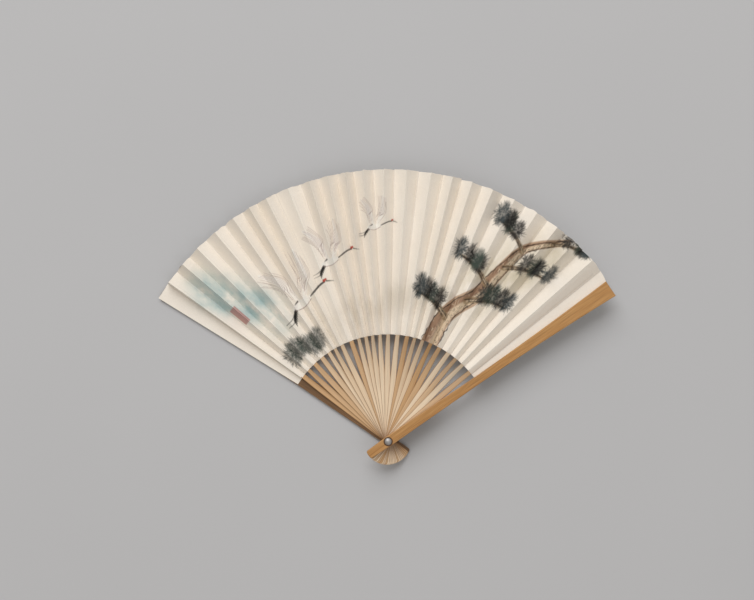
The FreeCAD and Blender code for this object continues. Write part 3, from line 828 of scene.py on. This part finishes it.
# %% Thickness and soft edges
thinning = add_node(rib_tree, "ShaderNodeMapRange", {"interpolation_type": "SMOOTHSTEP"}, {
    "Value": reach.outputs[0], "From Min": 50 * MM, "From Max": 79 * MM,
    "To Min": given["Thickness"], "To Max": given["Leaf thickness"]})
from_middle = add_node(rib_tree, "ShaderNodeMath", {"operation": "ABSOLUTE"}, {0: unit.outputs["X"]})
edge_share = add_node(rib_tree, "ShaderNodeMapRange", {"interpolation_type": "SMOOTHSTEP"}, {
    "Value": from_middle.outputs[0], "From Min": 0.36, "From Max": 0.5, "To Min": 1.0, "To Max": 0.5})
half_up = add_node(rib_tree, "ShaderNodeMath", {"operation": "MULTIPLY"}, {
    0: unit.outputs["Z"], 1: edge_share.outputs[0]})
from_top = add_node(rib_tree, "ShaderNodeMath", {"operation": "SUBTRACT"}, {0: half_up.outputs[0], 1: 0.5})
height = add_node(rib_tree, "ShaderNodeMath", {"operation": "MULTIPLY_ADD"}, {
    0: from_top.outputs[0], 1: thinning.outputs[0], 2: given["Top level"]})
flat_place = add_node(rib_tree, "ShaderNodeCombineXYZ", inputs={
    "X": across.outputs[0], "Y": reach.outputs[0], "Z": height.outputs[0]})
grain_shift = add_node(rib_tree, "ShaderNodeMath", {"operation": "MULTIPLY"}, {0: given["Number"], 1: 7.0})
grain_place = add_node(rib_tree, "ShaderNodeCombineXYZ", inputs={
    "X": across.outputs[0], "Y": reach.outputs[0], "Z": grain_shift.outputs[0]})
with_grain = add_node(rib_tree, "GeometryNodeStoreNamedAttribute", {"data_type": "FLOAT_VECTOR", "domain": "POINT"}, {
    "Geometry": blank.outputs["Mesh"], "Name": "grain", "Value": grain_place.outputs[0]})
with_tint = add_node(rib_tree, "GeometryNodeStoreNamedAttribute", {"data_type": "FLOAT", "domain": "POINT"}, {
    "Geometry": with_grain.outputs[0], "Name": "tint", "Value": given["Tint"]})
with_side = add_node(rib_tree, "GeometryNodeStoreNamedAttribute", {"data_type": "FLOAT", "domain": "POINT"}, {
    "Geometry": with_tint.outputs[0], "Name": "side", "Value": unit.outputs["X"]})
strip = add_node(rib_tree, "GeometryNodeSetPosition", inputs={
    "Geometry": with_side.outputs[0], "Position": flat_place.outputs[0]})

# %% The hole, the turn and the twist
drill = add_node(rib_tree, "GeometryNodeMeshCylinder", inputs={
    "Vertices": 32, "Radius": given["Hole radius"], "Depth": 60 * MM})
drilled = add_node(rib_tree, "GeometryNodeMeshBoolean", {"operation": "DIFFERENCE", "solver": "EXACT"}, {
    "Mesh 1": strip.outputs[0], "Mesh 2": drill.outputs["Mesh"]})
here = add_node(rib_tree, "GeometryNodeInputPosition").outputs[0]
quarter = add_node(rib_tree, "ShaderNodeMath", {"operation": "SUBTRACT"}, {0: given["Stick angle"], 1: math.pi / 2})
on_stick = add_node(rib_tree, "ShaderNodeVectorRotate", {"rotation_type": "Z_AXIS"}, {
    "Vector": here, "Angle": quarter.outputs[0]})
turned = add_node(rib_tree, "GeometryNodeSetPosition", inputs={
    "Geometry": drilled.outputs["Mesh"], "Position": on_stick.outputs[0]})
cosine = add_node(rib_tree, "ShaderNodeMath", {"operation": "COSINE"}, {0: given["Valley angle"]})
sine_node = add_node(rib_tree, "ShaderNodeMath", {"operation": "SINE"}, {0: given["Valley angle"]})
valley_way = add_node(rib_tree, "ShaderNodeCombineXYZ", inputs={"X": cosine.outputs[0], "Y": sine_node.outputs[0]})
valley_base = add_node(rib_tree, "ShaderNodeCombineXYZ", inputs={"Z": given["Valley level"]})
there = add_node(rib_tree, "GeometryNodeInputPosition").outputs[0]
outwards = add_node(rib_tree, "ShaderNodeVectorMath", {"operation": "DOT_PRODUCT"}, {
    0: there, 1: valley_way.outputs[0]})
twist = add_node(rib_tree, "ShaderNodeMapRange", {"interpolation_type": "SMOOTHSTEP"}, {
    "Value": outwards.outputs["Value"], "From Min": given["Twist start"], "From Max": given["Twist end"],
    "To Min": 0.0, "To Max": given["Twist"]})
twisted_place = add_node(rib_tree, "ShaderNodeVectorRotate", {"rotation_type": "AXIS_ANGLE"}, {
    "Vector": there, "Center": valley_base.outputs[0], "Axis": valley_way.outputs[0], "Angle": twist.outputs[0]})
twisted = add_node(rib_tree, "GeometryNodeSetPosition", inputs={
    "Geometry": turned.outputs[0], "Position": twisted_place.outputs[0]})
real = add_node(rib_tree, "GeometryNodeRealizeInstances", inputs={"Geometry": twisted.outputs[0]})
covered = add_node(rib_tree, "GeometryNodeSetMaterial", inputs={"Geometry": real.outputs[0], "Material": rib_bamboo})
add_node(rib_tree, "NodeGroupOutput", inputs={"Geometry": covered.outputs[0]})

# %% Make the ribs


def make_rib(number):
    """A rib of its own mesh, made by the tree with this rib's angles, levels and tint."""
    weight = rib_tilt[number] / closing[number]
    held_at = LEAF_INNER + 1.0 * MM
    twist_end = RIB_INNER_END + (held_at - RIB_INNER_END) / smoothstep_share(weight)
    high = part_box(f"rib_{number:02d}")[1]
    values = {
        "Stick angle": math.radians(stick_angle[number]), "Valley angle": math.radians(valley_angle[number]),
        "Top level": high[2], "Valley level": valley_level[number], "Twist": math.radians(closing[number]),
        "Twist end": twist_end, "Tint": float(random.random()), "Number": float(number),
        "Rivet width": (4.8 + 0.4 * random.random()) * MM, "Leaf width": (4.1 + 0.5 * random.random()) * MM,
    }
    holder = bpy.data.objects.new("holder", bpy.data.meshes.new("holder"))
    scene.collection.objects.link(holder)
    modifier = holder.modifiers.new("rib", "NODES")
    modifier.node_group = rib_tree
    for name, value in values.items():
        modifier[identifiers[name]] = value
    depsgraph = bpy.context.evaluated_depsgraph_get()
    mesh = bpy.data.meshes.new_from_object(
        holder.evaluated_get(depsgraph), preserve_all_data_layers=True, depsgraph=depsgraph)
    bpy.data.objects.remove(holder)
    mesh.name = f"bamboo_rib_{number:02d}"
    rib = bpy.data.objects.new(mesh.name, mesh)
    scene.collection.objects.link(rib)
    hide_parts(f"rib_{number:02d}")
    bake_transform(rib)
    return rib


ribs = [make_rib(number) for number in range(1, RIBS + 1)]
print(len(ribs), "ribs with", len(ribs[0].data.vertices), "points each")

# %% [markdown]
# ## The rivet
#
# The rivet is turned steel with a domed cap, polished once and worn matt. It is small, so all it gives the eye is a
# blurred highlight and a dark rim where the bamboo was burnt in around it. A trace of fine wear
# scratches in the roughness stops it from looking like a perfect mirror.
# %% Rivet material
rivet_steel, tree, shader = new_material("polished_steel", Metallic=1.0)
shader.inputs["Base Color"].default_value = colour("#B9B6B5")
place = add_node(tree, "ShaderNodeTexCoord")
scratches = add_node(tree, "ShaderNodeTexNoise", inputs={
    "Vector": place.outputs["Object"], "Scale": 1 / (0.3 * MM), "Detail": 3.0})
roughness = add_node(tree, "ShaderNodeMapRange", inputs={
    "Value": scratches.outputs["Fac"], "From Min": 0.3, "From Max": 0.7, "To Min": 0.50, "To Max": 0.64})
tree.links.new(roughness.outputs["Result"], shader.inputs["Roughness"])
for node in ("rivet_post", "rivet_cap"):
    frame["nodes"][node].material_slots[0].material = rivet_steel
